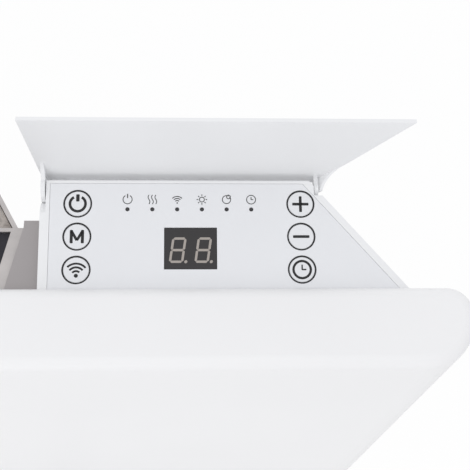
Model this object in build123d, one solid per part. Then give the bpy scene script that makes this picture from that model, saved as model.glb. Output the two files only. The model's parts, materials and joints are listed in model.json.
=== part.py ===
"""Electric radiator: a flat white front body on a finned aluminium core, with a wedge shaped
control housing at its right end. The housing's lid stands open over a sloping key panel.

Millimetres. +X runs to the right, +Y to the back, +Z up. The origin lies on the floor, at
the middle of the overall width and depth."""
from math import cos, radians, sin, tan
import os

from build123d import *

os.makedirs("parts", exist_ok=True)

# Front body
BODY_WIDTH = 723.0          # overall width of the white front body
BODY_DEPTH = 40.0           # front to back
BODY_BOTTOM = 60.0          # height of its lower face over the floor
BODY_TOP = 562.5            # height of its upper face over the floor
BODY_REAR = -6.0            # Y of its rear face
REAR_CORNER = 12.5          # plan radius of the two rear corners
SIDE_FLAT = 2.5             # flat run between a rear and a front corner
EDGE_ROUND = 6.0            # rounding along the upper and lower edges
SHELL_WALL = 2.0            # sheet thickness of the front shell
RETURN_LIP = 18.0           # width of the shell's folded edge round its rear opening
PLATE_WALL = 2.0            # thickness of the plate behind the folded edge
PLATE_LAP = 5.0             # how far that plate laps the folded edge
HEATER_WALL = 1.6           # thickness of the flat front heater
HEATER_MARGIN = 26.0        # heater's edge to the body's edge
BOARD_WALL = 12.0           # thickness of the insulation board
SPACER_RADIUS = 5.0         # studs that hold board and heater against the front
SPACER_INSET_X = 90.0
SPACER_INSET_Z = 80.0

# Aluminium core
ELEMENT_COUNT = 6
ELEMENT_PITCH = 80.0
LAST_ELEMENT_X = 105.0      # centre of the element beside the control housing
CORE_TOP_DROP = 10.5        # core's upper end below the body's upper face
CORE_BOTTOM = 75.0
ELEMENT_FRONT_HALF = 31.0   # half width where the element meets the front body
ELEMENT_REAR_HALF = 38.6    # half width at the chamber's rear wall
CHAMBER_DEPTH = 34.0        # depth of the closed chamber
CHAMBER_SIDE_WALL = 5.5
CHAMBER_REAR_WALL = 2.0
CHAMBER_FRONT_WALL = 5.0
FIN_ROOT_HALF = 36.0        # half width of the rear fins where they start
FIN_TIP_HALF = 25.0         # half width of the rear fins where they end
FIN_WALL = 2.0
CORE_DEPTH = 53.9           # front face of an element to its rear plate's outside
STORE_DROP = 6.0            # heat store's top below the core's top
PLUG_HEIGHT = 14.0
PLUG_DROP = 1.5             # plug's face below the element's end
PLUG_GAP = 0.15             # all round, between plug and chamber wall
ROD_RADIUS = 5.0            # tubular heater in each chamber

# Control housing
SLOPE = 10.0                # tilt of the key panel, rising to the back
PANEL_FRONT_RISE = -5.92    # panel surface at the body's rear face, relative to the body's top
HOUSING_REAR = 47.9         # Y of the housing's rear face
HOUSING_LEFT = 152.9        # X of the housing's left face
HOUSING_RIGHT_REAR = 283.8  # X of its right rear corner
HOUSING_RIGHT_FRONT = 331.9 # X of its right front corner
HOUSING_WALL = 2.5
HOUSING_BOTTOM = 75.0
RIM_REAR = 2.0              # rim left round the fascia
RIM_LEFT = 4.6
RIM_RIGHT = 3.4
FASCIA_WALL = 3.0
FASCIA_GAP = 0.15           # seam round the fascia
LEDGE_WIDTH = 2.5           # ledge that the fascia sits on
LEDGE_HEIGHT = 10.0
REAR_EDGE_ROUND = 1.0
BASE_WALL = 3.0
BASE_GAP = 0.2

# Keys, display and indicators, measured on the sloping panel
KEY_RADIUS = 6.2
KEY_GAP = 0.35              # running gap round each key
KEY_LEFT_X = 171.1
KEY_RIGHT_X = 279.7
KEY_FIRST = 12.4            # first row from the housing's rear edge, along the slope
KEY_PITCH = 16.35
KEY_CAP = 3.4               # height of the key's cap
KEY_STEM_RADIUS = 1.6
KEY_FLANGE = 1.0            # wider foot of the cap that keeps it under the fascia
KEY_FLANGE_HEIGHT = 1.0
KEY_TRAVEL = 0.5
KEY_RECESS = 0.1            # cap below the fascia's surface
KEY_ROUND = 0.3
DISPLAY_X = 225.8
DISPLAY_WIDTH = 25.1
DISPLAY_HEIGHT = 20.2
DISPLAY_FROM_REAR = 34.6    # centre from the housing's rear edge, along the slope
DISPLAY_BODY = 8.0
DISPLAY_GAP = 0.25
LAMP_COUNT = 6
LAMP_FIRST_X = 195.15
LAMP_PITCH = 12.06
LAMP_FROM_REAR = 15.15
LAMP_RADIUS = 1.0
LAMP_GAP = 0.05
BOARD_DROP = 11.0           # upper side of the control board below the panel's surface
PCB_WALL = 1.6
PCB_INSET = 8.2             # board's edge to the housing's outside
DISPLAY_RECESS = 0.3        # display's face below the panel's surface
POST_RADIUS = 3.0           # posts under the fascia that carry the board
POST_INSET_X = 14.0         # posts beside the key columns
POST_FIRST = 11.5
POST_LAST = 43.0
SWITCH_SIDE = 6.0
SWITCH_HEIGHT = 3.5
STEM_IN_SWITCH = 0.4
STEM_GAP = 0.3

# Lid
LID_LENGTH = 50.0           # hinge axis to free edge
LID_WALL = 2.0
LID_CLEARANCE = 1.0         # lid's underside over the panel when shut
LID_OPEN_ANGLE = 105.0
HINGE_DROP = 5.0            # hinge axis below the panel's surface
HINGE_INSET = 2.8           # hinge axis in front of the housing's rear face
LID_FREE_LEFT = 147.3
LID_FREE_RIGHT = 329.1
LID_REAR_LEFT = 153.2
LID_KNEE_RIGHT = 301.4      # right edge where the skirt ends
FLANGE_WALL = 2.0
FLANGE_GAP = 0.4            # between flange and housing
BOSS_RADIUS = 7.0           # round the hinge axis, at the left
LUG_RADIUS = 4.0            # round the hinge axis, at the right
LUG_X = 287.0               # inner face of the right lug
GUSSET_LEFT = 20.0          # how far the left flange runs out along the lid
GUSSET_RIGHT = 14.0         # how far the right skirt runs out along the lid
SKIRT_DEPTH = 8.0           # right skirt's depth at its root
SKIRT_WALL = 1.7
CURVE_START = 0.6           # hollow curve: share of the radius where it starts
CURVE_SAG = 0.22            # share of the root's depth left half way out
BOSS_SHARE = 0.5            # share of the boss that the left flange covers
NECK_INSET = 0.4            # neck's front face behind the lug's front
FAR = 60.0                  # overshoot of helping shapes
RECESS_DROP = 10.0          # depth of the right wall's recess for the lug
LUG_CLEARANCE = 1.0         # recess in front of the lug
PIN_RADIUS = 1.5
PIN_GAP = 0.05
PIN_SEAT_GAP = 0.02
PIN_SETBACK = 0.2           # pin's end inside the flange's outer face
PIN_DRILL = 8.0             # the right pin hole starts this far outside the flange
PIN_LENGTH_LEFT = 5.6
PIN_LENGTH_RIGHT = 8.8

# End pieces, feet and fixings
BRACKET_RISE = 1.0          # top of the grey bracket over the core's top
BRACKET_REAR = 3.5          # how far it reaches behind the chambers
PART_GAP = 0.3              # general gap between neighbours that do not touch
END_COVER_WALL = 3.0
FOOT_LENGTH = 240.0
FOOT_WIDTH = 46.0
FOOT_HEIGHT = 12.0
FOOT_CORNER = 15.0
FOOT_EDGE = 3.0
PAD_HEIGHT = 3.0
PAD_RADIUS = 12.0
FOOT_STEM_WALL = 8.0
FOOT_STEM_WIDTH = 30.0
FOOT_TOP_WALL = 4.0
FOOT_TOP_WIDTH = 60.0
FOOT_TOP_DEPTH = 24.0
BOLT_FROM_EDGE = 8.0        # bolt axis to the end of the foot's upper plate
BOLT_RADIUS = 3.0
BOLT_HEAD_RADIUS = 5.5
BOLT_HEAD_HEIGHT = 4.0
BOLT_GRIP = 10.0            # thread length inside the plug
SCREW_RADIUS = 2.0
SCREW_HEAD_RADIUS = 3.6
SCREW_HEAD_HEIGHT = 2.2
SCREW_GRIP = 4.0
HOLE_GAP = 0.1
RAIL_HEIGHT = 24.0
RAIL_WALL = 2.0
RAIL_FROM_TOP = 70.0
RAIL_HOLE_RADIUS = 4.0
RAIL_HOLE_SPACING = 320.0
RIVET_RADIUS = 1.6
RIVET_HEAD_RADIUS = 3.0
RIVET_HEAD_HEIGHT = 1.0
GLAND_X = 225.0
GLAND_Y = 16.0
GLAND_RADIUS = 8.0
GLAND_BORE = 4.0
GLAND_COLLAR = 3.0          # collar's height and how far it stands out
GLAND_LENGTH = 18.0
MAINS_BOARD = (100.0, 130.0)    # power board's width and height
MAINS_BOARD_X = 225.0           # its centre
MAINS_BOARD_Z = 330.0
STANDOFF = 5.0                  # between the housing's front wall and the power board
STANDOFF_RADIUS = 3.5
STANDOFF_INSET = 6.0            # standoff axis to the power board's edge
RADIO_MODULE = (18.0, 12.0, 3.0)
# Blocks on the power board: X range and Z range from its centre, and height over the board
POWER_BLOCKS = {"transformer": (-42.0, -14.0, 20.0, 50.0, 16.0),
                "heating_relay": (8.0, 38.0, 28.0, 44.0, 16.0),
                "terminal_block": (-36.0, 30.0, -56.0, -42.0, 12.0)}

# Worked out from the values above
FRONT_CORNER = BODY_DEPTH - REAR_CORNER - SIDE_FLAT     # plan radius of the two front corners
BODY_FRONT = BODY_REAR - BODY_DEPTH
CORE_TOP = BODY_TOP - CORE_TOP_DROP
CORE_REAR = BODY_REAR + CORE_DEPTH
FIRST_ELEMENT_X = LAST_ELEMENT_X - (ELEMENT_COUNT - 1) * ELEMENT_PITCH
PLATE_FRONT = BODY_REAR - SHELL_WALL - PLATE_WALL
PANEL_RISE = tan(radians(SLOPE))
HINGE_Y = HOUSING_REAR - HINGE_INSET


def panel_z(y):
    """Height of the sloping panel's surface at a given Y."""
    return BODY_TOP + PANEL_FRONT_RISE + (y - BODY_REAR) * PANEL_RISE


HINGE_Z = panel_z(HINGE_Y) - HINGE_DROP


def box(x0, x1, y0, y1, z0, z1):
    """A box between two corners."""
    centre = ((x0 + x1) / 2, (y0 + y1) / 2, (z0 + z1) / 2)
    return Pos(*centre) * Box(abs(x1 - x0), abs(y1 - y0), abs(z1 - z0))


def prism(points, z0, z1):
    """A plan outline raised from one height to another."""
    face = make_face(Polyline(*points, close=True))
    return Pos(0, 0, z0) * extrude(face, z1 - z0, dir=(0, 0, 1))


def rod(radius, start, direction, length):
    """A round rod from a start point."""
    plane = Plane(origin=start, z_dir=direction)
    return plane * Cylinder(radius, length, align=(Align.CENTER, Align.CENTER, Align.MIN))


def on_panel(x, from_rear, depth=0.0):
    """A frame on the key panel: X right, Y up the slope, Z out of the panel."""
    slope = radians(SLOPE)
    y = HOUSING_REAR - from_rear * cos(slope) + depth * sin(slope)
    z = panel_z(HOUSING_REAR) - from_rear * sin(slope) - depth * cos(slope)
    return Location((x, y, z), (SLOPE, 0, 0))


def save(shape, name):
    """Write one named sub-part."""
    export_step(shape, f"parts/{name}.step")


def group(solids):
    """Several separate solids kept under one name."""
    return Compound(children=list(solids))


def body_outline(inset):
    """Plan of the front body, drawn in from its outside by an inset."""
    half = BODY_WIDTH / 2 - inset
    depth = BODY_DEPTH - 2 * inset
    sketch = Rectangle(2 * half, depth)
    rear = sketch.vertices().group_by(Axis.Y)[-1]
    sketch = fillet(rear, REAR_CORNER - inset)
    front = sketch.vertices().group_by(Axis.Y)[0]
    sketch = fillet(front, FRONT_CORNER - inset)
    return Pos(0, (BODY_FRONT + BODY_REAR) / 2, 0) * sketch


def body_solid(inset):
    """The front body's form, drawn in all round by an inset."""
    height = BODY_TOP - BODY_BOTTOM - 2 * inset
    solid = extrude(Pos(0, 0, BODY_BOTTOM + inset) * body_outline(inset), height)
    ends = solid.edges().group_by(Axis.Z)
    return fillet(ends[0] + ends[-1], EDGE_ROUND - inset)


def make_front_shell():
    """White shell, folded in round a rear opening."""
    opening = box(-BODY_WIDTH / 2 + RETURN_LIP, BODY_WIDTH / 2 - RETURN_LIP,
                  BODY_REAR - BODY_DEPTH / 2, BODY_REAR + 1,
                  BODY_BOTTOM + RETURN_LIP, BODY_TOP - RETURN_LIP)
    return body_solid(0) - body_solid(SHELL_WALL) - opening


def core_screw_places():
    """Screw axes that hold the elements to the front body's rear plate."""
    for i in range(ELEMENT_COUNT):
        for z in (CORE_BOTTOM + SPACER_INSET_Z / 2, CORE_TOP - SPACER_INSET_Z / 2):
            yield FIRST_ELEMENT_X + i * ELEMENT_PITCH, z


def spacer_places():
    """Axes of the studs between the rear plate and the front."""
    half = BODY_WIDTH / 2 - SPACER_INSET_X
    for x in (-half, 0, half):
        for z in (BODY_BOTTOM + SPACER_INSET_Z, BODY_TOP - SPACER_INSET_Z):
            yield x, z


HEATER_FRONT = BODY_FRONT + SHELL_WALL
BOARD_FRONT = HEATER_FRONT + HEATER_WALL
BOARD_REAR = BOARD_FRONT + BOARD_WALL


def make_back_plate():
    """Steel plate inside the shell's folded edge."""
    inset = RETURN_LIP - PLATE_LAP
    plate = box(-BODY_WIDTH / 2 + inset, BODY_WIDTH / 2 - inset, PLATE_FRONT,
                PLATE_FRONT + PLATE_WALL, BODY_BOTTOM + inset, BODY_TOP - inset)
    for x, z in core_screw_places():
        plate -= rod(SCREW_RADIUS + HOLE_GAP, (x, PLATE_FRONT - 1, z), (0, 1, 0), PLATE_WALL + 2)
    return plate


def make_body_filling():
    """Flat heater, insulation board and the studs that press them on the front."""
    half = BODY_WIDTH / 2 - HEATER_MARGIN
    low, high = BODY_BOTTOM + HEATER_MARGIN, BODY_TOP - HEATER_MARGIN
    heater = box(-half, half, HEATER_FRONT, BOARD_FRONT, low, high)
    board = box(-half, half, BOARD_FRONT, BOARD_REAR, low, high)
    length = PLATE_FRONT - BOARD_REAR
    studs = [rod(SPACER_RADIUS, (x, BOARD_REAR, z), (0, 1, 0), length)
             for x, z in spacer_places()]
    save(heater, "heater_plate")
    save(board, "insulation_board")
    save(group(studs), "heater_studs")


def side_half(depth):
    """Outer half width of an element's chamber at a depth behind its front face."""
    return ELEMENT_FRONT_HALF + (ELEMENT_REAR_HALF - ELEMENT_FRONT_HALF) * depth / CHAMBER_DEPTH


def mirrored(right):
    """A closed outline from its right half, front to back."""
    return right + [(-x, y) for x, y in reversed(right)]


def chamber_outline(gap=0.0):
    """Hollow of an element's chamber, relative to the element's front face."""
    front, rear = CHAMBER_FRONT_WALL + gap, CHAMBER_DEPTH - CHAMBER_REAR_WALL - gap
    return mirrored([(side_half(front) - CHAMBER_SIDE_WALL - gap, front),
                     (side_half(rear) - CHAMBER_SIDE_WALL - gap, rear)])


def channel_outline(rear, gap=0.0):
    """Hollow of an element's rear channel down to a depth, drawn in at the fins by a gap."""
    lean = FIN_WALL * (FIN_ROOT_HALF - FIN_TIP_HALF) / (CORE_DEPTH - CHAMBER_DEPTH)
    root, tip = FIN_ROOT_HALF - FIN_WALL - lean / 2, FIN_TIP_HALF - FIN_WALL + lean / 2
    share = (rear - CHAMBER_DEPTH) / (CORE_DEPTH - FIN_WALL - CHAMBER_DEPTH)
    return mirrored([(root - gap, CHAMBER_DEPTH), (root + (tip - root) * share - gap, rear)])


def placed(points, x):
    """An element's outline moved to its centre."""
    return [(x + px, BODY_REAR + py) for px, py in points]


def element_x(i):
    return FIRST_ELEMENT_X + i * ELEMENT_PITCH


def make_element(i):
    """One extruded element: closed chamber in front, open finned channel behind."""
    x = element_x(i)
    outer = mirrored([(ELEMENT_FRONT_HALF, 0), (ELEMENT_REAR_HALF, CHAMBER_DEPTH),
                      (FIN_ROOT_HALF, CHAMBER_DEPTH), (FIN_TIP_HALF, CORE_DEPTH)])
    channel = channel_outline(CORE_DEPTH - FIN_WALL)
    solid = prism(placed(outer, x), CORE_BOTTOM, CORE_TOP)
    solid -= prism(placed(chamber_outline(), x), CORE_BOTTOM - 1, CORE_TOP + 1)
    solid -= prism(placed(channel, x), CORE_BOTTOM - 1, CORE_TOP + 1)
    for sx, z in core_screw_places():
        if abs(sx - x) < 1:
            solid -= rod(SCREW_RADIUS + HOLE_GAP, (x, BODY_REAR - 1, z), (0, 1, 0),
                         CHAMBER_FRONT_WALL + 2)
    rivet_z = CORE_TOP - RAIL_FROM_TOP - RAIL_HEIGHT / 2
    solid -= rod(RIVET_RADIUS + HOLE_GAP, (x, CORE_REAR - FIN_WALL - 1, rivet_z), (0, 1, 0),
                 FIN_WALL + 2)
    return solid


ROD_Y = BODY_REAR + (CHAMBER_FRONT_WALL + CHAMBER_DEPTH - CHAMBER_REAR_WALL) / 2
FOOT_ELEMENTS = (1, ELEMENT_COUNT - 1)


def bolt_places(i):
    """The two bolts that hold a foot to one element."""
    for side in (-1, 1):
        yield element_x(i) + side * (FOOT_TOP_WIDTH / 2 - BOLT_FROM_EDGE), ROD_Y


def make_core():
    """Elements with heat stores, plugs, tubular heaters and the screws to the front body."""
    plugs, heaters, screws, stores = [], [], [], []
    store = channel_outline(CORE_DEPTH - FIN_WALL - RIVET_HEAD_HEIGHT - PART_GAP, PART_GAP)
    for i in range(ELEMENT_COUNT):
        x = element_x(i)
        save(make_element(i), f"core_element_{i + 1}")
        stores.append(prism(placed(store, x), CORE_BOTTOM, CORE_TOP - STORE_DROP))
        outline = placed(chamber_outline(PLUG_GAP), x)
        top = prism(outline, CORE_TOP - PLUG_DROP - PLUG_HEIGHT, CORE_TOP - PLUG_DROP)
        low = prism(outline, CORE_BOTTOM, CORE_BOTTOM + PLUG_HEIGHT)
        if i in FOOT_ELEMENTS:
            for bx, by in bolt_places(i):
                low -= rod(BOLT_RADIUS + HOLE_GAP, (bx, by, CORE_BOTTOM - 1), (0, 0, 1),
                           BOLT_GRIP + 2)
        plugs += [top, low]
        start = CORE_BOTTOM + PLUG_HEIGHT
        heaters.append(rod(ROD_RADIUS, (x, ROD_Y, start), (0, 0, 1),
                           CORE_TOP - PLUG_DROP - PLUG_HEIGHT - start))
    for x, z in core_screw_places():
        shank = rod(SCREW_RADIUS, (x, PLATE_FRONT, z), (0, 1, 0),
                    BODY_REAR - PLATE_FRONT + SCREW_GRIP)
        head = rod(SCREW_HEAD_RADIUS, (x, PLATE_FRONT - SCREW_HEAD_HEIGHT, z), (0, 1, 0),
                   SCREW_HEAD_HEIGHT)
        screws.append(shank + head)
    save(group(stores), "storage_blocks")
    save(group(plugs), "chamber_plugs")
    save(group(heaters), "tubular_heaters")
    save(group(screws), "core_screws")


def bracket_left(y):
    """X of the grey bracket's slanting left face, beside the last element."""
    depth = min(y - BODY_REAR, CHAMBER_DEPTH)
    return LAST_ELEMENT_X + side_half(depth) + PART_GAP


def make_end_pieces():
    """Grey bracket that carries the housing, and the cover on the core's left end."""
    right = HOUSING_LEFT
    top = CORE_TOP + BRACKET_RISE
    rear = BODY_REAR + CHAMBER_DEPTH + BRACKET_REAR
    outline = [(bracket_left(BODY_REAR), BODY_REAR), (right, BODY_REAR), (right, rear),
               (bracket_left(rear), rear), (bracket_left(rear), BODY_REAR + CHAMBER_DEPTH)]
    save(prism(outline, CORE_BOTTOM, top), "end_bracket")
    x = FIRST_ELEMENT_X
    face = [(x - side_half(0) - PART_GAP, BODY_REAR),
            (x - ELEMENT_REAR_HALF - PART_GAP, BODY_REAR + CHAMBER_DEPTH),
            (x - ELEMENT_REAR_HALF - PART_GAP - END_COVER_WALL, BODY_REAR + CHAMBER_DEPTH),
            (x - ELEMENT_REAR_HALF - PART_GAP - END_COVER_WALL, BODY_REAR)]
    save(prism(face, CORE_BOTTOM, top), "left_end_cover")


def make_feet():
    """Two feet bolted under the core, each on two soft pads."""
    bolts, pads = [], []
    low = PAD_HEIGHT
    top = CORE_BOTTOM
    for name, i in zip(("foot_left", "foot_right"), FOOT_ELEMENTS):
        x = element_x(i)
        bar = box(x - FOOT_WIDTH / 2, x + FOOT_WIDTH / 2, -FOOT_LENGTH / 2, FOOT_LENGTH / 2,
                  low, low + FOOT_HEIGHT)
        bar = fillet(bar.edges().filter_by(Axis.Z), FOOT_CORNER)
        bar = fillet(bar.edges().group_by(Axis.Z)[-1], FOOT_EDGE)
        stem = box(x - FOOT_STEM_WIDTH / 2, x + FOOT_STEM_WIDTH / 2,
                   ROD_Y - FOOT_STEM_WALL / 2, ROD_Y + FOOT_STEM_WALL / 2,
                   low + FOOT_HEIGHT / 2, top - FOOT_TOP_WALL / 2)
        plate = box(x - FOOT_TOP_WIDTH / 2, x + FOOT_TOP_WIDTH / 2,
                    ROD_Y - FOOT_TOP_DEPTH / 2, ROD_Y + FOOT_TOP_DEPTH / 2,
                    top - FOOT_TOP_WALL, top)
        foot = bar + stem + plate
        for bx, by in bolt_places(i):
            foot -= rod(BOLT_RADIUS + HOLE_GAP, (bx, by, top - FOOT_TOP_WALL - 1), (0, 0, 1),
                        FOOT_TOP_WALL + 2)
            head = rod(BOLT_HEAD_RADIUS, (bx, by, top - FOOT_TOP_WALL - BOLT_HEAD_HEIGHT),
                       (0, 0, 1), BOLT_HEAD_HEIGHT)
            shank = rod(BOLT_RADIUS, (bx, by, top - FOOT_TOP_WALL), (0, 0, 1),
                        FOOT_TOP_WALL + BOLT_GRIP)
            bolts.append(head + shank)
        save(foot, name)
        for side in (-1, 1):
            y = side * (FOOT_LENGTH / 2 - FOOT_WIDTH / 2)
            pads.append(rod(PAD_RADIUS, (x, y, 0), (0, 0, 1), PAD_HEIGHT))
    save(group(bolts), "foot_bolts")
    save(group(pads), "foot_pads")


SLANT = (HOUSING_RIGHT_FRONT - HOUSING_RIGHT_REAR) / (HOUSING_REAR - BODY_REAR)
SLANT_RUN = (1 + SLANT ** 2) ** 0.5
HIGH = BODY_TOP + FAR       # well above the panel, for cutting shapes


def wall_x(y, inset=0.0):
    """X of the housing's slanting right face at a given Y, drawn in by an inset."""
    return HOUSING_RIGHT_REAR + (HOUSING_REAR - y) * SLANT - inset * SLANT_RUN


def housing_plan(left, rear, right, front):
    """Plan of the control housing, drawn in by an inset on each side."""
    y0, y1 = BODY_REAR + front, HOUSING_REAR - rear
    return [(HOUSING_LEFT + left, y0), (wall_x(y0, right), y0),
            (wall_x(y1, right), y1), (HOUSING_LEFT + left, y1)]


def under_panel(drop):
    """Everything below the sloping panel, or below a surface parallel to it."""
    lower = drop / cos(radians(SLOPE))
    y0, y1 = BODY_REAR - FAR, HOUSING_REAR + FAR
    outline = Polyline((0, y0, 0), (0, y1, 0), (0, y1, panel_z(y1) - lower),
                       (0, y0, panel_z(y0) - lower), close=True)
    face = make_face(outline)
    width = HOUSING_RIGHT_FRONT - HOUSING_LEFT + 2 * FAR
    return Pos(HOUSING_LEFT - FAR, 0, 0) * extrude(face, width, dir=(1, 0, 0))


def lid_frame(angle):
    """A frame on the hinge axis for the lid, opened by an angle from shut.
    X runs along the axis, -Y towards the free edge and Z out of the lid's top."""
    return Location((0, HINGE_Y, HINGE_Z), (SLOPE - angle, 0, 0))


LID_UNDERSIDE = HINGE_DROP + LID_CLEARANCE
LID_TOP = LID_UNDERSIDE + LID_WALL


def flange_profile(x, radius, root_depth, length, grow):
    """Side view of a lid flange: round the axis, then a hollow curve out along the lid."""
    start = (x, -radius * CURVE_START - grow, LID_UNDERSIDE - root_depth - grow)
    middle = (x, -length * 0.5 - grow, LID_UNDERSIDE - root_depth * CURVE_SAG - grow)
    end = (x, -length - grow, LID_UNDERSIDE)
    top = (x, -length - grow, LID_TOP + grow)
    edge = [ThreePointArc(start, middle, end), Line(end, top),
            Line(top, (x, 0, LID_TOP + grow)),
            Line((x, 0, LID_TOP + grow), (x, 0, LID_UNDERSIDE - root_depth - grow)),
            Line((x, 0, LID_UNDERSIDE - root_depth - grow), start)]
    return make_face(edge)


def left_flange(x0, x1, grow=0.0):
    """The lid's left flange, or the room that it needs, in the lid's frame."""
    depth = LID_UNDERSIDE + BOSS_RADIUS * BOSS_SHARE
    profile = flange_profile(x0, BOSS_RADIUS, depth, GUSSET_LEFT, grow)
    web = extrude(profile, x1 - x0, dir=(1, 0, 0))
    boss = rod(BOSS_RADIUS + grow, (x0, 0, 0), (1, 0, 0), x1 - x0)
    return web + boss


def right_skirt():
    """Skirt under the lid's right edge, beside the housing's slanting wall when shut."""
    x0, x1 = LUG_X - FAR, LID_KNEE_RIGHT + FAR
    profile = flange_profile(x0, LUG_RADIUS, SKIRT_DEPTH, GUSSET_RIGHT, 0)
    web = extrude(profile, x1 - x0, dir=(1, 0, 0))
    run = cos(radians(SLOPE))
    front = HINGE_Y - HINGE_DROP * sin(radians(SLOPE))
    outer = -FLANGE_GAP - SKIRT_WALL

    def edge(s, inset):
        return wall_x(front - s * run, inset)

    slab = prism([(edge(0, -FLANGE_GAP), 0), (edge(0, outer), 0),
                  (edge(GUSSET_RIGHT, outer), -GUSSET_RIGHT),
                  (edge(GUSSET_RIGHT, -FLANGE_GAP), -GUSSET_RIGHT)], -FAR, FAR)
    return web & slab


def lid_outline():
    """Plan of the lid's plate, in the lid's frame."""
    rear = HINGE_INSET
    return [(LID_REAR_LEFT, rear), (LID_FREE_LEFT, -LID_LENGTH),
            (LID_FREE_RIGHT, -LID_LENGTH), (LID_KNEE_RIGHT, -GUSSET_RIGHT),
            (LUG_X + FLANGE_WALL, 0), (LUG_X + FLANGE_WALL, rear)]


def make_lid():
    """Flip-up lid with its two hinge flanges."""
    plate = prism(lid_outline(), LID_UNDERSIDE, LID_TOP)
    lug = rod(LUG_RADIUS, (LUG_X, 0, 0), (1, 0, 0), FLANGE_WALL)
    neck = box(LUG_X, LUG_X + FLANGE_WALL, NECK_INSET - LUG_RADIUS, HINGE_INSET, 0,
               LID_UNDERSIDE + LID_WALL / 2)
    bore = rod(PIN_RADIUS + PIN_GAP, (LID_REAR_LEFT - FAR, 0, 0), (1, 0, 0),
               LUG_X - LID_REAR_LEFT + 2 * FAR)
    under = prism(lid_outline(), -FAR, LID_TOP)
    skirt = right_skirt() & under
    lid = plate + left_flange(LID_REAR_LEFT, LID_REAR_LEFT + FLANGE_WALL) + lug + neck + skirt
    return lid_frame(LID_OPEN_ANGLE) * (lid - bore)


def make_hinge_pins():
    """Two pins from the housing's walls into the lid's flanges."""
    left = rod(PIN_RADIUS, (LID_REAR_LEFT + PIN_SETBACK, HINGE_Y, HINGE_Z), (1, 0, 0), PIN_LENGTH_LEFT)
    right = rod(PIN_RADIUS, (LUG_X + FLANGE_WALL - PIN_SETBACK, HINGE_Y, HINGE_Z), (-1, 0, 0),
                PIN_LENGTH_RIGHT)
    return group([left, right])


def pin_holes():
    """Seats of the hinge pins in the housing."""
    radius = PIN_RADIUS + PIN_SEAT_GAP
    left = rod(radius, (HOUSING_LEFT - 1, HINGE_Y, HINGE_Z), (1, 0, 0),
               LID_REAR_LEFT + PIN_SETBACK + PIN_LENGTH_LEFT - HOUSING_LEFT + 1)
    right = rod(radius, (LUG_X + FLANGE_WALL + PIN_DRILL, HINGE_Y, HINGE_Z), (-1, 0, 0),
                PIN_LENGTH_RIGHT + PIN_DRILL + PIN_SETBACK)
    return left, right


def standoff_places():
    for sx in (-1, 1):
        for sz in (-1, 1):
            yield (MAINS_BOARD_X + sx * (MAINS_BOARD[0] / 2 - STANDOFF_INSET),
                   MAINS_BOARD_Z + sz * (MAINS_BOARD[1] / 2 - STANDOFF_INSET))


def make_control_housing():
    """White housing: tall wedge, open below, with a seat for the fascia in its sloping top."""
    solid = prism(housing_plan(0, 0, 0, 0), HOUSING_BOTTOM, HIGH) & under_panel(0)
    top_rear = solid.edges().filter_by(Axis.X).sort_by(Axis.Z)[-1]
    solid = fillet(top_rear, REAR_EDGE_ROUND)
    wall = HOUSING_WALL
    solid -= prism(housing_plan(wall, wall, wall, wall), HOUSING_BOTTOM - 1, HIGH) \
        & under_panel(FASCIA_WALL + LEDGE_HEIGHT)
    ledge = LEDGE_WIDTH
    solid -= prism(housing_plan(RIM_LEFT + ledge, RIM_REAR + ledge, RIM_RIGHT + ledge,
                                wall), HOUSING_BOTTOM, HIGH)
    seat = prism(housing_plan(RIM_LEFT, RIM_REAR, RIM_RIGHT, -1), HOUSING_BOTTOM, HIGH)
    solid -= seat - under_panel(FASCIA_WALL)
    for name, x, row in KEYS:
        solid -= key_frame(x, row) * disc(KEY_RADIUS + KEY_FLANGE + PART_GAP,
                                          -FASCIA_WALL - LEDGE_HEIGHT - 1, -FASCIA_WALL)
    room = lid_frame(0) * left_flange(HOUSING_LEFT - 2, LID_REAR_LEFT + FLANGE_WALL + FLANGE_GAP,
                                      FLANGE_GAP)
    solid -= room
    solid -= right_recess()
    for x, z in standoff_places():
        solid += rod(STANDOFF_RADIUS, (x, BODY_REAR + wall / 2, z), (0, 1, 0), wall / 2 + STANDOFF)
    for hole in pin_holes():
        solid -= hole
    return solid


def right_recess():
    """Room for the lid's lug in the housing's right wall."""
    y0 = HINGE_Y - LUG_RADIUS - LUG_CLEARANCE
    band = box(LUG_X - FLANGE_GAP, HOUSING_RIGHT_FRONT, y0, HOUSING_REAR + 5, HOUSING_BOTTOM, HIGH)
    return band - under_panel(RECESS_DROP)


def make_housing_base():
    """Lower cover of the housing, with the cable gland's hole."""
    inset = HOUSING_WALL + BASE_GAP
    base = prism(housing_plan(inset, inset, inset, inset), HOUSING_BOTTOM,
                 HOUSING_BOTTOM + BASE_WALL)
    return base - rod(GLAND_RADIUS + HOLE_GAP, (GLAND_X, GLAND_Y, HOUSING_BOTTOM - 1),
                      (0, 0, 1), BASE_WALL + 2)


def make_gland():
    """Cable inlet in the housing's base."""
    low = HOUSING_BOTTOM - GLAND_LENGTH / 2
    body = rod(GLAND_RADIUS, (GLAND_X, GLAND_Y, low), (0, 0, 1), GLAND_LENGTH)
    collar = rod(GLAND_RADIUS + GLAND_COLLAR, (GLAND_X, GLAND_Y, HOUSING_BOTTOM - GLAND_COLLAR),
                 (0, 0, 1), GLAND_COLLAR)
    bore = rod(GLAND_BORE, (GLAND_X, GLAND_Y, low - 1), (0, 0, 1), GLAND_LENGTH + 2)
    return body + collar - bore


KEYS = [("key_power", KEY_LEFT_X, 0), ("key_mode", KEY_LEFT_X, 1), ("key_wifi", KEY_LEFT_X, 2),
        ("key_plus", KEY_RIGHT_X, 0), ("key_minus", KEY_RIGHT_X, 1), ("key_timer", KEY_RIGHT_X, 2)]


def key_frame(x, row, depth=0.0):
    return on_panel(x, KEY_FIRST + row * KEY_PITCH, depth)


def disc(radius, low, high):
    """A round solid between two heights of a panel frame, where 0 is the surface."""
    return Pos(0, 0, low) * Cylinder(radius, high - low,
                                     align=(Align.CENTER, Align.CENTER, Align.MIN))


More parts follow.
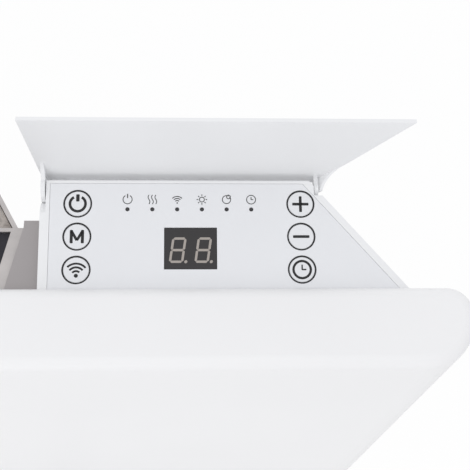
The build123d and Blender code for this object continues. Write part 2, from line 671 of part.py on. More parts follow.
def lamp_places():
    for i in range(LAMP_COUNT):
        yield on_panel(LAMP_FIRST_X + i * LAMP_PITCH, LAMP_FROM_REAR)


def post_places():
    for x in (KEY_LEFT_X + POST_INSET_X, KEY_RIGHT_X - POST_INSET_X):
        for from_rear in (POST_FIRST, POST_LAST):
            yield on_panel(x, from_rear)


def display_block(gap, low, high):
    """The display's outline between two heights of the panel frame."""
    block = Pos(0, 0, (low + high) / 2) * Box(DISPLAY_WIDTH + 2 * gap, DISPLAY_HEIGHT + 2 * gap,
                                              high - low)
    return on_panel(DISPLAY_X, DISPLAY_FROM_REAR) * block


def make_fascia():
    """Flat key panel with its holes, and posts under it for the control board."""
    gap = FASCIA_GAP
    plan = housing_plan(RIM_LEFT + gap, RIM_REAR + gap, RIM_RIGHT + gap, gap)
    plate = (prism(plan, HOUSING_BOTTOM, HIGH) & under_panel(0)) - under_panel(FASCIA_WALL)
    for name, x, row in KEYS:
        plate -= key_frame(x, row) * disc(KEY_RADIUS + KEY_GAP, -FASCIA_WALL - 2, 2)
    for place in lamp_places():
        plate -= place * disc(LAMP_RADIUS + LAMP_GAP, -FASCIA_WALL - 2, 2)
    plate -= display_block(DISPLAY_GAP, -FASCIA_WALL - 2, 2)
    for place in post_places():
        plate += place * disc(POST_RADIUS, -BOARD_DROP, -FASCIA_WALL / 2)
        plate -= place * disc(SCREW_RADIUS / 2 + HOLE_GAP, -BOARD_DROP - 1, -FASCIA_WALL - 2)
    return plate


def make_key(x, row):
    """A key's cap, the foot that keeps it in the fascia and its stem into the switch."""
    foot_top = -FASCIA_WALL - KEY_RECESS
    foot = disc(KEY_RADIUS + KEY_FLANGE, foot_top - KEY_FLANGE_HEIGHT, foot_top)
    cap = disc(KEY_RADIUS, foot_top, -KEY_RECESS)
    top = cap.edges().group_by(Axis.Z)[-1]
    cap = fillet(top, KEY_ROUND)
    stem = disc(KEY_STEM_RADIUS, -BOARD_DROP + SWITCH_HEIGHT - STEM_IN_SWITCH, foot_top)
    return key_frame(x, row) * (cap + foot + stem)


def make_switches():
    """One small switch on the board under each key."""
    bodies = []
    for name, x, row in KEYS:
        body = Pos(0, 0, -BOARD_DROP + SWITCH_HEIGHT / 2) * Box(SWITCH_SIDE, SWITCH_SIDE,
                                                                SWITCH_HEIGHT)
        well = STEM_IN_SWITCH + KEY_TRAVEL + STEM_GAP
        body -= disc(KEY_STEM_RADIUS + STEM_GAP, -BOARD_DROP + SWITCH_HEIGHT - well,
                     -BOARD_DROP + SWITCH_HEIGHT + 1)
        bodies.append(key_frame(x, row) * body)
    return group(bodies)


def make_control_board():
    """Board under the fascia."""
    inset = PCB_INSET
    slab = prism(housing_plan(inset, inset, inset, inset), HOUSING_BOTTOM, HIGH)
    board = (slab & under_panel(BOARD_DROP)) - under_panel(BOARD_DROP + PCB_WALL)
    for place in post_places():
        board -= place * disc(SCREW_RADIUS / 2 + HOLE_GAP, -BOARD_DROP - PCB_WALL - 1,
                              -BOARD_DROP + 1)
    return board


def make_board_screws():
    """Screws that hold the board to the fascia's posts."""
    screws = []
    for place in post_places():
        head = disc(SCREW_RADIUS, -BOARD_DROP - PCB_WALL - SCREW_HEAD_HEIGHT / 2,
                    -BOARD_DROP - PCB_WALL)
        shank = disc(SCREW_RADIUS / 2, -BOARD_DROP - PCB_WALL, -FASCIA_WALL - 3)
        screws.append(place * (head + shank))
    return group(screws)


def make_electronics():
    """Power board on the housing's front wall and the parts it carries."""
    front = BODY_REAR + HOUSING_WALL + STANDOFF
    rear = front + PCB_WALL
    half_x, half_z = MAINS_BOARD[0] / 2, MAINS_BOARD[1] / 2
    x, z = MAINS_BOARD_X, MAINS_BOARD_Z
    save(box(x - half_x, x + half_x, front, rear, z - half_z, z + half_z), "power_board")
    for name, (x0, x1, z0, z1, height) in POWER_BLOCKS.items():
        save(box(x + x0, x + x1, rear, rear + height, z + z0, z + z1), name)
    module = Pos(0, 0, -BOARD_DROP - PCB_WALL - RADIO_MODULE[2] / 2) * Box(*RADIO_MODULE)
    save(on_panel(DISPLAY_X, LAMP_FROM_REAR) * module, "radio_module")


def make_hanging_rail():
    """Steel rail across the core's back, with two holes for wall hooks, and its rivets."""
    x0, x1 = element_x(0) - FIN_TIP_HALF, element_x(ELEMENT_COUNT - 1) + FIN_TIP_HALF
    z1 = CORE_TOP - RAIL_FROM_TOP
    rail = box(x0, x1, CORE_REAR, CORE_REAR + RAIL_WALL, z1 - RAIL_HEIGHT, z1)
    z = z1 - RAIL_HEIGHT / 2
    middle = (x0 + x1) / 2
    for side in (-1, 1):
        rail -= rod(RAIL_HOLE_RADIUS, (middle + side * RAIL_HOLE_SPACING / 2, CORE_REAR - 1, z),
                    (0, 1, 0), RAIL_WALL + 2)
    rivets = []
    for x, y, z in rivet_places():
        rail -= rod(RIVET_RADIUS + HOLE_GAP, (x, y - 1, z), (0, 1, 0), RAIL_WALL + 2)
        shank = rod(RIVET_RADIUS, (x, y - FIN_WALL, z), (0, 1, 0), FIN_WALL + RAIL_WALL)
        head = rod(RIVET_HEAD_RADIUS, (x, y + RAIL_WALL, z), (0, 1, 0), RIVET_HEAD_HEIGHT)
        tail = rod(RIVET_HEAD_RADIUS, (x, y - FIN_WALL - RIVET_HEAD_HEIGHT, z), (0, 1, 0),
                   RIVET_HEAD_HEIGHT)
        rivets.append(shank + head + tail)
    save(rail, "hanging_rail")
    save(group(rivets), "rail_rivets")


def rivet_places():
    for i in range(ELEMENT_COUNT):
        yield element_x(i), CORE_REAR, CORE_TOP - RAIL_FROM_TOP - RAIL_HEIGHT / 2


save(make_front_shell(), "front_shell")
save(make_back_plate(), "front_back_plate")
make_body_filling()
make_core()
make_end_pieces()
make_feet()
make_hanging_rail()
save(make_control_housing(), "control_housing")
save(make_housing_base(), "housing_base")
save(make_gland(), "cable_gland")
save(make_fascia(), "fascia")
save(make_control_board(), "control_board")
save(make_switches(), "key_switches")
save(make_board_screws(), "board_screws")
save(display_block(0, -BOARD_DROP, -DISPLAY_RECESS), "display_module")
save(group(place * disc(LAMP_RADIUS, -BOARD_DROP, 0) for place in lamp_places()),
     "indicator_lights")
make_electronics()
save(make_lid(), "lid")
save(make_hinge_pins(), "hinge_pins")
for name, x, row in KEYS:
    save(make_key(x, row), name)
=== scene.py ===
"""Looks of the electric radiator: finishes for its CAD pieces, and the printed marks, rings of
painted gap shade round the keys, display digits and small trim on them. Metres, in the part's own
frame."""
import json
import math

import bpy
from mathutils import Matrix, Vector


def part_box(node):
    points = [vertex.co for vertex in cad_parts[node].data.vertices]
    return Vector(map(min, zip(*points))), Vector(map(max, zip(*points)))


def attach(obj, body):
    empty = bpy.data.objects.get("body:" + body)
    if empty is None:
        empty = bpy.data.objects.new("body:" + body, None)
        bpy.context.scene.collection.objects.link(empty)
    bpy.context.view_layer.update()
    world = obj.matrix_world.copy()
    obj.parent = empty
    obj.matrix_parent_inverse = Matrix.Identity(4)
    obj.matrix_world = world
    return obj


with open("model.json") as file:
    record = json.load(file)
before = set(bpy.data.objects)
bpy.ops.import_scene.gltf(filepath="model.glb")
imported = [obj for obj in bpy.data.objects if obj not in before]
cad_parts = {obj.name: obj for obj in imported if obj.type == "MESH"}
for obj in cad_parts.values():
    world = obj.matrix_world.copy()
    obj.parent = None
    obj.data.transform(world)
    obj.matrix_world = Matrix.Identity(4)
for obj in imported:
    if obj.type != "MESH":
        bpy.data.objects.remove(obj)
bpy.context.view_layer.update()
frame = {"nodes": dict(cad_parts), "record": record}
MM = 0.001

# The sloping key panel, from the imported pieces
SLOPE = math.radians(10)
HOUSING_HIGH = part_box("control_housing")[1]
FASCIA_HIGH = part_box("fascia")[1]
REAR_Y = HOUSING_HIGH[1]
REAR_Z = FASCIA_HIGH[2] + (REAR_Y - FASCIA_HIGH[1]) * math.tan(SLOPE)

# Key rows and columns, measured down the slope from the housing's rear edge
KEY_LEFT_X = 171.1 * MM
KEY_RIGHT_X = 279.7 * MM
KEY_FIRST = 12.4 * MM
KEY_PITCH = 16.35 * MM
KEY_RECESS = 0.1 * MM
# The black ring round each key is painted shade of the gap between cap and panel.
RING_INNER = 6.27 * MM
RING_OUTER = 6.95 * MM

# Symbols printed on the keys
POWER_RADIUS, POWER_LINE = 3.75 * MM, 1.3 * MM
POWER_GAP = 62.0
MODE_WIDTH, MODE_HEIGHT, MODE_LINE = 6.8 * MM, 6.6 * MM, 1.45 * MM
WAVES_RADIUS, WAVES_LINE, WAVES_DOT = 5.9 * MM, 0.95 * MM, 0.95 * MM
WAVES_DROP, WAVES_SPREAD = 2.8 * MM, 95
ICON_WAVES_SPREAD = 92
SIGN_LENGTH, SIGN_LINE = 8.0 * MM, 1.35 * MM
CLOCK_RADIUS, CLOCK_LINE, CLOCK_HAND = 4.2 * MM, 1.15 * MM, 0.65 * MM

# Indicator row
LAMP_FIRST_X = 195.15 * MM
LAMP_PITCH = 12.06 * MM
ICON_FROM_REAR = 10.2 * MM
ICON_RADIUS = 2.2 * MM
ICON_LINE = 0.38 * MM

# Display
DISPLAY_X = 225.8 * MM
DISPLAY_FROM_REAR = 34.6 * MM
DISPLAY_RECESS = 0.3 * MM
DIGIT_WIDTH = 7.0 * MM
DIGIT_HEIGHT = 12.6 * MM
DIGIT_LINE = 1.15 * MM
DIGIT_LEAN = math.tan(math.radians(8))
DIGIT_PLACES = (-6.2 * MM, 6.1 * MM)
DIGIT_DROP = 0.8 * MM
POINT_RADIUS = 0.75 * MM

# Thickness of the flat marks: printed ink, and the rings of painted gap shade round the keys
MARK_FILM = 0.05 * MM

# Floor
FLOOR_SIZE = 12
FLOOR_WHITE = 0.93
FLOOR_GLOW_SHARE = 0.93

# Studio
WORLD_COLOUR = (0.97, 0.98, 1.0, 1)
WORLD_STRENGTH = 0.86

# Camera: where it stands and how it looks
CAMERA_PLACE = Vector((223.6, -156.0, 978.7)) * MM
CAMERA_PITCH = math.radians(67.1)
CAMERA_YAW = math.radians(3)
LENS = 71.54
SENSOR = 36.0


def deselect_all():
    """Nothing selected, nothing in edit mode."""
    if bpy.context.object and bpy.context.object.mode != "OBJECT":
        bpy.ops.object.mode_set(mode="OBJECT")
    bpy.ops.object.select_all(action="DESELECT")


def value_socket(shader, name, value):
    """A plain value on the shader's own socket."""
    shader.inputs[name].default_value = value


def new_material(name, colour, roughness, metallic=0.0):
    """A material with its shader, ready for its pattern."""
    made = bpy.data.materials.new(name)
    made.use_nodes = True
    shader = made.node_tree.nodes["Principled BSDF"]
    value_socket(shader, "Base Color", (*colour, 1))
    value_socket(shader, "Roughness", roughness)
    value_socket(shader, "Metallic", metallic)
    return made, shader


def object_noise(made, scale, detail=3.0, stretch=(1, 1, 1)):
    """Noise on the piece's own place, stretched along an axis where asked."""
    nodes, links = made.node_tree.nodes, made.node_tree.links
    place = nodes.new("ShaderNodeTexCoord")
    turn = nodes.new("ShaderNodeMapping")
    turn.inputs["Scale"].default_value = stretch
    noise = nodes.new("ShaderNodeTexNoise")
    noise.inputs["Scale"].default_value = scale
    noise.inputs["Detail"].default_value = detail
    links.new(place.outputs["Object"], turn.inputs["Vector"])
    links.new(turn.outputs["Vector"], noise.inputs["Vector"])
    return noise


def ramp(made, source, low, high, start=0.3, end=0.7):
    """A colour ramp between two colours on a pattern."""
    node = made.node_tree.nodes.new("ShaderNodeValToRGB")
    node.color_ramp.elements[0].position = start
    node.color_ramp.elements[1].position = end
    node.color_ramp.elements[0].color = (*low, 1)
    node.color_ramp.elements[1].color = (*high, 1)
    made.node_tree.links.new(source, node.inputs["Fac"])
    return node


def bump(made, shader, source, strength, distance):
    """A pattern that moves the surface's normal."""
    node = made.node_tree.nodes.new("ShaderNodeBump")
    node.inputs["Strength"].default_value = strength
    node.inputs["Distance"].default_value = distance
    made.node_tree.links.new(source, node.inputs["Height"])
    made.node_tree.links.new(node.outputs["Normal"], shader.inputs["Normal"])


def roughness_range(made, shader, source, low, high):
    """Roughness between two values, by a pattern."""
    node = made.node_tree.nodes.new("ShaderNodeMapRange")
    node.inputs["To Min"].default_value = low
    node.inputs["To Max"].default_value = high
    made.node_tree.links.new(source, node.inputs["Value"])
    made.node_tree.links.new(node.outputs["Result"], shader.inputs["Roughness"])


def tone(colour, factor):
    """A colour made darker or lighter."""
    return tuple(min(1.0, c * factor) for c in colour)


def moulded_plastic(name, colour, roughness, grain=0.02):
    """Smooth moulded plastic with a very fine grain and faint changes of tone."""
    made, shader = new_material(name, colour, roughness)
    cloud = object_noise(made, 14, 2)
    shade = ramp(made, cloud.outputs["Fac"], tone(colour, 0.985), tone(colour, 1.01))
    made.node_tree.links.new(shade.outputs["Color"], shader.inputs["Base Color"])
    fine = object_noise(made, 2600, 2)
    bump(made, shader, fine.outputs["Fac"], grain, 0.05 * MM)
    roughness_range(made, shader, fine.outputs["Fac"], roughness - 0.05, roughness + 0.05)
    return made


def powder_coat(name, colour, roughness):
    """Powder coated sheet: fine orange peel under a satin gloss."""
    made, shader = new_material(name, colour, roughness)
    peel = object_noise(made, 900, 4)
    cloud = object_noise(made, 6, 2)
    shade = ramp(made, cloud.outputs["Fac"], tone(colour, 0.985), tone(colour, 1.01))
    made.node_tree.links.new(shade.outputs["Color"], shader.inputs["Base Color"])
    bump(made, shader, peel.outputs["Fac"], 0.05, 0.1 * MM)
    roughness_range(made, shader, peel.outputs["Fac"], roughness - 0.06, roughness + 0.06)
    return made


def extruded_metal(name, colour, roughness, metallic):
    """Extruded or rolled metal: fine lines along Z and cloudy tones."""
    made, shader = new_material(name, colour, roughness, metallic)
    lines = object_noise(made, 900, 3, (1, 1, 0.01))
    cloud = object_noise(made, 60, 4, (1, 1, 0.3))
    shade = ramp(made, cloud.outputs["Fac"], tone(colour, 0.86), tone(colour, 1.08))
    made.node_tree.links.new(shade.outputs["Color"], shader.inputs["Base Color"])
    bump(made, shader, lines.outputs["Fac"], 0.12, 0.05 * MM)
    roughness_range(made, shader, lines.outputs["Fac"], roughness - 0.1, roughness + 0.1)
    return made


def speckled(name, low, high, roughness, scale, metallic=0.0):
    """Two tones in grains, as on zinc, mineral board, rubber or a lacquered board."""
    made, shader = new_material(name, high, roughness, metallic)
    grains = object_noise(made, scale, 5)
    shade = ramp(made, grains.outputs["Fac"], low, high)
    made.node_tree.links.new(shade.outputs["Color"], shader.inputs["Base Color"])
    bump(made, shader, grains.outputs["Fac"], 0.08, 0.1 * MM)
    return made


FINISHES = {
    "front_white": powder_coat("front_white", (0.87, 0.865, 0.868), 0.42),
    "foot_white": powder_coat("foot_white", (0.85, 0.85, 0.85), 0.45),
    "housing_white": moulded_plastic("housing_white", (0.84, 0.842, 0.85), 0.40),
    "fascia_white": moulded_plastic("fascia_white", (0.79, 0.795, 0.815), 0.34, 0.01),
    "key_white": moulded_plastic("key_white", (0.78, 0.785, 0.805), 0.34, 0.01),
    "core_aluminium": extruded_metal("core_aluminium", (0.50, 0.475, 0.47), 0.5, 0.75),
    "bracket_grey": powder_coat("bracket_grey", (0.36, 0.335, 0.335), 0.5),
    # black_plug: a near-black plug just below the chamber mouth, painted shade for the dark inside
    # of the open chamber
    "black_plug": speckled("black_plug", (0.004, 0.004, 0.010), (0.008, 0.008, 0.016), 0.62, 500),
    "zinc_sheet": speckled("zinc_sheet", (0.42, 0.43, 0.45), (0.62, 0.63, 0.65), 0.4, 90, 0.9),
    "screw_steel": speckled("screw_steel", (0.5, 0.5, 0.52), (0.6, 0.6, 0.62), 0.35, 900, 1.0),
    "heater_film": speckled("heater_film", (0.02, 0.015, 0.012), (0.04, 0.03, 0.025), 0.5, 400),
    "insulation": speckled("insulation", (0.6, 0.57, 0.5), (0.75, 0.72, 0.65), 0.9, 700),
    "nylon": moulded_plastic("nylon", (0.75, 0.75, 0.7), 0.5),
    "heater_sheath": extruded_metal("heater_sheath", (0.4, 0.39, 0.38), 0.4, 1.0),
    "pad_rubber": speckled("pad_rubber", (0.015, 0.015, 0.015), (0.03, 0.03, 0.03), 0.8, 900),
    "gland_nylon": moulded_plastic("gland_nylon", (0.02, 0.02, 0.02), 0.5),
    "circuit_board": speckled("circuit_board", (0.01, 0.08, 0.03), (0.015, 0.12, 0.045), 0.3, 300),
    "switch_black": moulded_plastic("switch_black", (0.02, 0.02, 0.02), 0.45),
    "display_black": moulded_plastic("display_black", (0.008, 0.006, 0.008), 0.32, 0.002),
    "store_ceramic": speckled("store_ceramic", (0.40, 0.36, 0.33), (0.62, 0.57, 0.53), 0.9, 420),
    "lamp_dark": moulded_plastic("lamp_dark", (0.012, 0.012, 0.015), 0.2, 0.005),
}
# Black for the printed symbols, and for the rings of painted gap shade round the keys.
PRINT_AND_GAP_SHADE_BLACK = moulded_plastic("print_and_gap_shade_black", (0.004, 0.004, 0.005), 0.6)
SEGMENT_GREY = moulded_plastic("segment_grey", (0.37, 0.33, 0.30), 0.4)


def finish_cad_nodes():
    """Each carried-over node takes the finish of its slot."""
    slots = {entry["node"]: entry["material_slot"] for entry in frame["record"]["subparts"]}
    for name, node in frame["nodes"].items():
        for place in node.material_slots:
            place.material = FINISHES[slots[name]]


def panel_place(x, from_rear, lift=0.0):
    """A matrix for a flat mark: X right, Y up the slope, Z out of the panel."""
    y = REAR_Y - from_rear * math.cos(SLOPE) - lift * math.sin(SLOPE)
    z = REAR_Z - from_rear * math.sin(SLOPE) + lift * math.cos(SLOPE)
    return Matrix.Translation((x, y, z)) @ Matrix.Rotation(SLOPE, 4, "X")


def ring(inner, outer, centre=(0, 0), start=0.0, sweep=360.0, steps=72):
    """A flat ring or part of one: a circle drawn out to a band, the rest deleted."""
    deselect_all()
    bpy.ops.mesh.primitive_circle_add(vertices=steps, radius=inner, location=(0, 0, 0))
    band = bpy.context.object
    bpy.ops.object.mode_set(mode="EDIT")
    bpy.ops.mesh.select_all(action="SELECT")
    bpy.ops.mesh.extrude_edges_move()
    bpy.ops.transform.resize(value=(outer / inner, outer / inner, 1))
    bpy.ops.mesh.select_all(action="DESELECT")
    bpy.ops.object.mode_set(mode="OBJECT")
    for face in band.data.polygons:
        angle = math.degrees(math.atan2(face.center.y, face.center.x)) - start
        face.select = angle % 360 > sweep
    bpy.ops.object.mode_set(mode="EDIT")
    bpy.ops.mesh.select_mode(type="FACE")
    if sweep < 360:
        bpy.ops.mesh.delete(type="FACE")
    bpy.ops.object.mode_set(mode="OBJECT")
    band.data.transform(Matrix.Translation((*centre, 0)))
    return band


def disc(radius, centre=(0, 0)):
    """A flat round mark with its face inset once."""
    deselect_all()
    bpy.ops.mesh.primitive_circle_add(vertices=40, radius=radius, fill_type="NGON")
    mark = bpy.context.object
    bpy.ops.object.mode_set(mode="EDIT")
    bpy.ops.mesh.inset(thickness=radius * 0.3)
    bpy.ops.object.mode_set(mode="OBJECT")
    mark.data.transform(Matrix.Translation((*centre, 0)))
    return mark


def bar(length, width, centre=(0, 0), turn=0.0):
    """A straight printed stroke with softened corners, along X before its turn."""
    deselect_all()
    bpy.ops.mesh.primitive_plane_add(size=1)
    mark = bpy.context.object
    mark.data.transform(Matrix.Diagonal((length, width, 1, 1)))
    bpy.ops.object.mode_set(mode="EDIT")
    bpy.ops.mesh.select_all(action="SELECT")
    bpy.ops.mesh.bevel(offset=width * 0.2, segments=2, affect="VERTICES")
    bpy.ops.object.mode_set(mode="OBJECT")
    mark.data.transform(Matrix.Translation((*centre, 0)) @ Matrix.Rotation(turn, 4, "Z"))
    return mark


def join(pieces):
    """Several marks made one mesh."""
    deselect_all()
    for piece in pieces:
        piece.select_set(True)
    bpy.context.view_layer.objects.active = pieces[0]
    if len(pieces) > 1:
        bpy.ops.object.join()
    return bpy.context.object


def settle(piece, name, matrix, material, body, height=MARK_FILM):
    """Raise a flat mark to its thickness, put it in its place and let it ride."""
    piece.name = name
    piece.data.name = name
    deselect_all()
    piece.select_set(True)
    bpy.context.view_layer.objects.active = piece
    bpy.ops.object.mode_set(mode="EDIT")
    bpy.ops.mesh.select_all(action="SELECT")
    bpy.ops.mesh.remove_doubles(threshold=0.002 * MM)
    bpy.ops.object.mode_set(mode="OBJECT")
    solid = piece.modifiers.new("thickness", "SOLIDIFY")
    solid.thickness = height
    solid.offset = 1
    bpy.ops.object.modifier_apply(modifier=solid.name)
    bpy.ops.object.mode_set(mode="EDIT")
    bpy.ops.mesh.select_all(action="SELECT")
    bpy.ops.mesh.normals_make_consistent(inside=False)
    bpy.ops.object.mode_set(mode="OBJECT")
    low = min(v.co.z for v in piece.data.vertices)
    piece.data.transform(matrix @ Matrix.Translation((0, 0, -low)))
    piece.data.materials.clear()
    piece.data.materials.append(material)
    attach(piece, body)
    return piece


def stroke(start, end, width):
    """A straight printed stroke between two points."""
    run = (end[0] - start[0], end[1] - start[1])
    centre = ((start[0] + end[0]) / 2, (start[1] + end[1]) / 2)
    return bar(math.hypot(*run), width, centre, math.atan2(run[1], run[0]))


def letter_m(width, height, line):
    """The mode key's letter M, of two uprights and two strokes that meet below the middle."""
    x, y = (width - line) / 2, height / 2
    meet = (0, y - 0.78 * height)
    return [stroke((-x, -y), (-x, y), line), stroke((x, -y), (x, y), line),
            stroke((-x, y - line * 0.35), meet, line * 0.9),
            stroke((x, y - line * 0.35), meet, line * 0.9)]


def power_symbol(radius, line):
    """A ring open at the top, with a stroke in the opening."""
    return [ring(radius - line / 2, radius + line / 2, start=90 + POWER_GAP / 2,
                 sweep=360 - POWER_GAP),
            bar(radius * 0.96, line * 1.25, (0, radius * 0.78), math.pi / 2)]


def waves_symbol(radius, line, dot, drop, spread):
    """Three arcs over a dot."""
    marks = [disc(dot, (0, -drop))]
    for share in (0.38, 0.69, 1.0):
        marks.append(ring(radius * share - line / 2, radius * share + line / 2, (0, -drop),
                          90 - spread / 2, spread))
    return marks


def clock_symbol(radius, line, hand):
    """A ring with two hands from its middle."""
    return [ring(radius - line / 2, radius + line / 2),
            bar(radius * 0.6, hand, (0, radius * 0.27), math.pi / 2),
            bar(radius * 0.5, hand, (radius * 0.24, 0))]


def sun_symbol(radius, line):
    """A small ring with eight rays."""
    marks = [ring(radius * 0.5 - line / 2, radius * 0.5 + line / 2)]
    for i in range(8):
        turn = i * math.pi / 4
        reach = radius * 0.9
        marks.append(bar(radius * 0.32, line, (reach * math.cos(turn), reach * math.sin(turn)),
                         turn))
    return marks


def heat_symbol(radius, line):
    """Three rising waves, each a row of short strokes along a curve."""
    marks = []
    steps, sway = 8, radius * 0.2
    for i in (-1, 0, 1):
        points = [(i * radius * 0.72 + sway * math.sin(2 * math.pi * k / steps),
                   radius * (2 * k / steps - 1)) for k in range(steps + 1)]
        marks += [stroke(points[k], points[k + 1], line) for k in range(steps)]
    return marks


def comfort_symbol(radius, line):
    """A ring with a small curl in its upper right."""
    curl = radius * 0.42
    return [ring(radius * 0.92 - line / 2, radius * 0.92 + line / 2, start=62, sweep=345),
            ring(curl - line / 2, curl + line / 2, (radius * 0.45, radius * 0.62), 150, 200),
            ring(curl * 1.5 - line / 2, curl * 1.5 + line / 2, (radius * 0.32, radius * 0.42),
                 20, 75)]


def key_marks():
    """Black ring round each key, painted shade of the gap between cap and panel, and the symbol
    printed on its cap.
    """
    keys = [("power", KEY_LEFT_X, 0), ("mode", KEY_LEFT_X, 1), ("wifi", KEY_LEFT_X, 2),
            ("plus", KEY_RIGHT_X, 0), ("minus", KEY_RIGHT_X, 1), ("timer", KEY_RIGHT_X, 2)]
    for name, x, row in keys:
        down = KEY_FIRST + row * KEY_PITCH
        # Painted shade: a black ring where the gap round the key cap falls dark.
        settle(ring(RING_INNER, RING_OUTER, steps=96), f"gap_shade_ring_{name}",
               panel_place(x, down), PRINT_AND_GAP_SHADE_BLACK, "frame")
        mark = join(key_symbol(name))
        settle(mark, f"print_symbol_{name}", panel_place(x, down, -KEY_RECESS), PRINT_AND_GAP_SHADE_BLACK,
               f"key_{name}_body")


def key_symbol(name):
    """Strokes of one key's symbol, on a flat plane."""
    if name == "power":
        return power_symbol(POWER_RADIUS, POWER_LINE)
    if name == "mode":
        return letter_m(MODE_WIDTH, MODE_HEIGHT, MODE_LINE)
    if name == "wifi":
        return waves_symbol(WAVES_RADIUS, WAVES_LINE, WAVES_DOT, WAVES_DROP, WAVES_SPREAD)
    if name == "plus":
        return [bar(SIGN_LENGTH, SIGN_LINE), bar(SIGN_LENGTH, SIGN_LINE, turn=math.pi / 2)]
    if name == "minus":
        return [bar(SIGN_LENGTH, SIGN_LINE)]
    return clock_symbol(CLOCK_RADIUS, CLOCK_LINE, CLOCK_HAND)


def indicator_icons():
    """Fine symbols above the six indicator lights."""
    size, line = ICON_RADIUS, ICON_LINE
    icons = [power_symbol(size, line), heat_symbol(size * 1.05, line),
             waves_symbol(size * 1.5, line * 1.1, line * 0.9, size * 0.8, ICON_WAVES_SPREAD),
             sun_symbol(size * 1.1, line), comfort_symbol(size, line),
             clock_symbol(size, line, line)]
    for i, marks in enumerate(icons):
        place = panel_place(LAMP_FIRST_X + i * LAMP_PITCH, ICON_FROM_REAR)
        settle(join(marks), f"print_icon_{i + 1}", place, PRINT_AND_GAP_SHADE_BLACK, "frame")


def segment(length, centre, upright):
    """One pointed segment of a digit."""
    deselect_all()
    bpy.ops.mesh.primitive_circle_add(vertices=6, radius=1, fill_type="NGON")
    mark = bpy.context.object
    half, wide = length / 2, DIGIT_LINE / 2
    for v in mark.data.vertices:
        tip = abs(v.co.x) < 0.1
        sign = 1 if v.co.y > 0 else -1
        side = 0 if tip else math.copysign(wide, v.co.x)
        v.co = (side, sign * (half if tip else half - wide), 0)
    turn = Matrix() if upright else Matrix.Rotation(math.pi / 2, 4, "Z")
    mark.data.transform(Matrix.Translation((*centre, 0)) @ turn)
    return mark


def digit():
    """A leaning seven segment figure and its point."""
    w, h = DIGIT_WIDTH - DIGIT_LINE, DIGIT_HEIGHT - DIGIT_LINE
    tall, wide = h / 2 - 0.2 * MM, w - 0.2 * MM
    marks = [segment(wide, (0, y), False) for y in (-h / 2, 0, h / 2)]
    marks += [segment(tall, (sx * w / 2, sy * h / 4), True) for sx in (-1, 1) for sy in (-1, 1)]
    marks.append(disc(POINT_RADIUS, (w / 2 + 1.75 * MM, -h / 2)))
    figure = join(marks)
    for v in figure.data.vertices:
        v.co.x += v.co.y * DIGIT_LEAN
    return figure


def display_digits():
    """The two unlit figures behind the display's window."""
    for i, x in enumerate(DIGIT_PLACES):
        place = panel_place(DISPLAY_X + x, DISPLAY_FROM_REAR + DIGIT_DROP, -DISPLAY_RECESS)
        settle(digit(), f"display_digit_{i + 1}", place, SEGMENT_GREY, "frame")


def floor():
    """A plain pale floor that stays white to the camera and keeps a soft shadow."""
    deselect_all()
    bpy.ops.mesh.primitive_plane_add(size=FLOOR_SIZE)
    ground = bpy.context.object
    ground.name = "floor"
    made = bpy.data.materials.new("floor_pale")
    made.use_nodes = True
    nodes, links = made.node_tree.nodes, made.node_tree.links
    shader = nodes["Principled BSDF"]
    value_socket(shader, "Base Color", (FLOOR_WHITE, FLOOR_WHITE, FLOOR_WHITE, 1))
    value_socket(shader, "Roughness", 0.9)
    glow = nodes.new("ShaderNodeEmission")
    glow.inputs["Strength"].default_value = 1.0
    mix = nodes.new("ShaderNodeMixShader")
    seen = seen_rays(made.node_tree)
    share = nodes.new("ShaderNodeMath")
    share.operation = "MULTIPLY"
    share.inputs[1].default_value = FLOOR_GLOW_SHARE
    links.new(seen, share.inputs[0])
    links.new(share.outputs[0], mix.inputs["Fac"])
    links.new(shader.outputs["BSDF"], mix.inputs[1])
    links.new(glow.outputs["Emission"], mix.inputs[2])
    links.new(mix.outputs["Shader"], nodes["Material Output"].inputs["Surface"])
    ground.data.materials.append(made)


def seen_rays(tree):
    """1 for camera, glossy and transmission rays."""
    rays = tree.nodes.new("ShaderNodeLightPath")
    first = tree.nodes.new("ShaderNodeMath")
    first.operation = "MAXIMUM"
    second = tree.nodes.new("ShaderNodeMath")
    second.operation = "MAXIMUM"
    tree.links.new(rays.outputs["Is Camera Ray"], first.inputs[0])
    tree.links.new(rays.outputs["Is Glossy Ray"], first.inputs[1])
    tree.links.new(first.outputs[0], second.inputs[0])
    tree.links.new(rays.outputs["Is Transmission Ray"], second.inputs[1])
    return second.outputs[0]


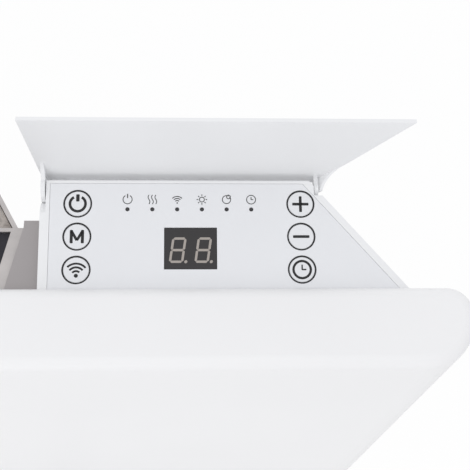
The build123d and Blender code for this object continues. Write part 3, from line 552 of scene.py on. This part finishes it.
def studio():
    """Even pale surroundings and three soft lamps."""
    world = bpy.data.worlds.new("studio")
    world.use_nodes = True
    bpy.context.scene.world = world
    nodes, links = world.node_tree.nodes, world.node_tree.links
    back = nodes["Background"]
    back.inputs["Color"].default_value = WORLD_COLOUR
    back.inputs["Strength"].default_value = WORLD_STRENGTH
    white = nodes.new("ShaderNodeBackground")
    white.inputs["Color"].default_value = (1, 1, 1, 1)
    mix = nodes.new("ShaderNodeMixShader")
    links.new(seen_rays(world.node_tree), mix.inputs["Fac"])
    links.new(back.outputs["Background"], mix.inputs[1])
    links.new(white.outputs["Background"], mix.inputs[2])
    links.new(mix.outputs["Shader"], nodes["World Output"].inputs["Surface"])
    soft_lamp("lamp_above", (0.1, -0.5, 2.2), (0.1, 0.0, 0.5), 1.6, 4.0)
    soft_lamp("lamp_front", (-0.9, -1.9, 1.0), (0.1, 0.0, 0.5), 1.4, 6.5)
    soft_lamp("lamp_rear", (0.3, 1.9, 1.4), (0.1, 0.0, 0.5), 1.4, 4.0)


def soft_lamp(name, place, target, size, watts):
    """A square lamp at a place, aimed at a target."""
    data = bpy.data.lights.new(name, "AREA")
    data.size = size
    data.energy = watts
    lamp = bpy.data.objects.new(name, data)
    bpy.context.scene.collection.objects.link(lamp)
    lamp.location = place
    aim = Vector(target) - Vector(place)
    lamp.rotation_euler = aim.to_track_quat("-Z", "Y").to_euler()


def camera():
    """The photograph's view: steeply down over the front body at the key panel."""
    data = bpy.data.cameras.new("camera")
    data.lens = LENS
    data.sensor_width = SENSOR
    data.clip_start = 0.01
    eye = bpy.data.objects.new("camera", data)
    bpy.context.scene.collection.objects.link(eye)
    ahead = Vector((0, math.cos(CAMERA_PITCH), -math.sin(CAMERA_PITCH)))
    up = Vector((0, math.sin(CAMERA_PITCH), math.cos(CAMERA_PITCH)))
    across = Vector((1, 0, 0))
    forward = math.cos(CAMERA_YAW) * ahead + math.sin(CAMERA_YAW) * across
    right = math.cos(CAMERA_YAW) * across - math.sin(CAMERA_YAW) * ahead
    turn = Matrix((right, up, -forward)).transposed().to_4x4()
    eye.matrix_world = Matrix.Translation(CAMERA_PLACE) @ turn
    bpy.context.scene.camera = eye


camera()
studio()
floor()
finish_cad_nodes()
key_marks()
indicator_icons()
display_digits()
bpy.context.scene.view_settings.view_transform = "Standard"
